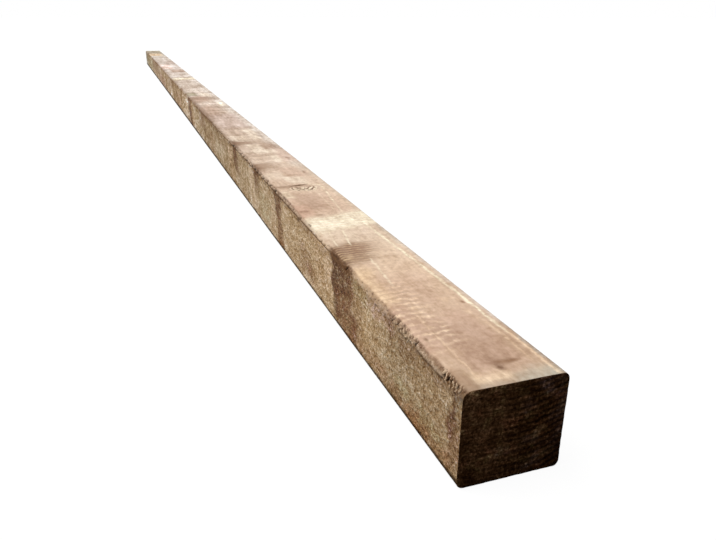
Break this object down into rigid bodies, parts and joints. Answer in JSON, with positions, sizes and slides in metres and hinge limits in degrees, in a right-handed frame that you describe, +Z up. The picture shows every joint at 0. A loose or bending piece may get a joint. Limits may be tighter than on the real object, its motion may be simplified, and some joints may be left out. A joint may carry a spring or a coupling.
{
  "type": "wooden batten",
  "caption": "Sawn softwood batten: one straight length of treated timber, near-square section with eased edges, a torn upper edge near one end, a knot and a short drying check.",
  "frame": {"origin": "middle of the underside, at mid length and mid width", "axes": "+X along the batten towards the end with the torn upper edge, +Y to the right as seen facing that end and looking along -X, +Z up; it lies on its widest face"},
  "size_m": [2.4, 0.05, 0.047],
  "materials": {
    "treated_timber": "rough sawn, dry and unplaned, brown preservative staining"
  },
  "bodies": {
    "root": {"batten": "treated_timber"}
  },
  "joints": []
}
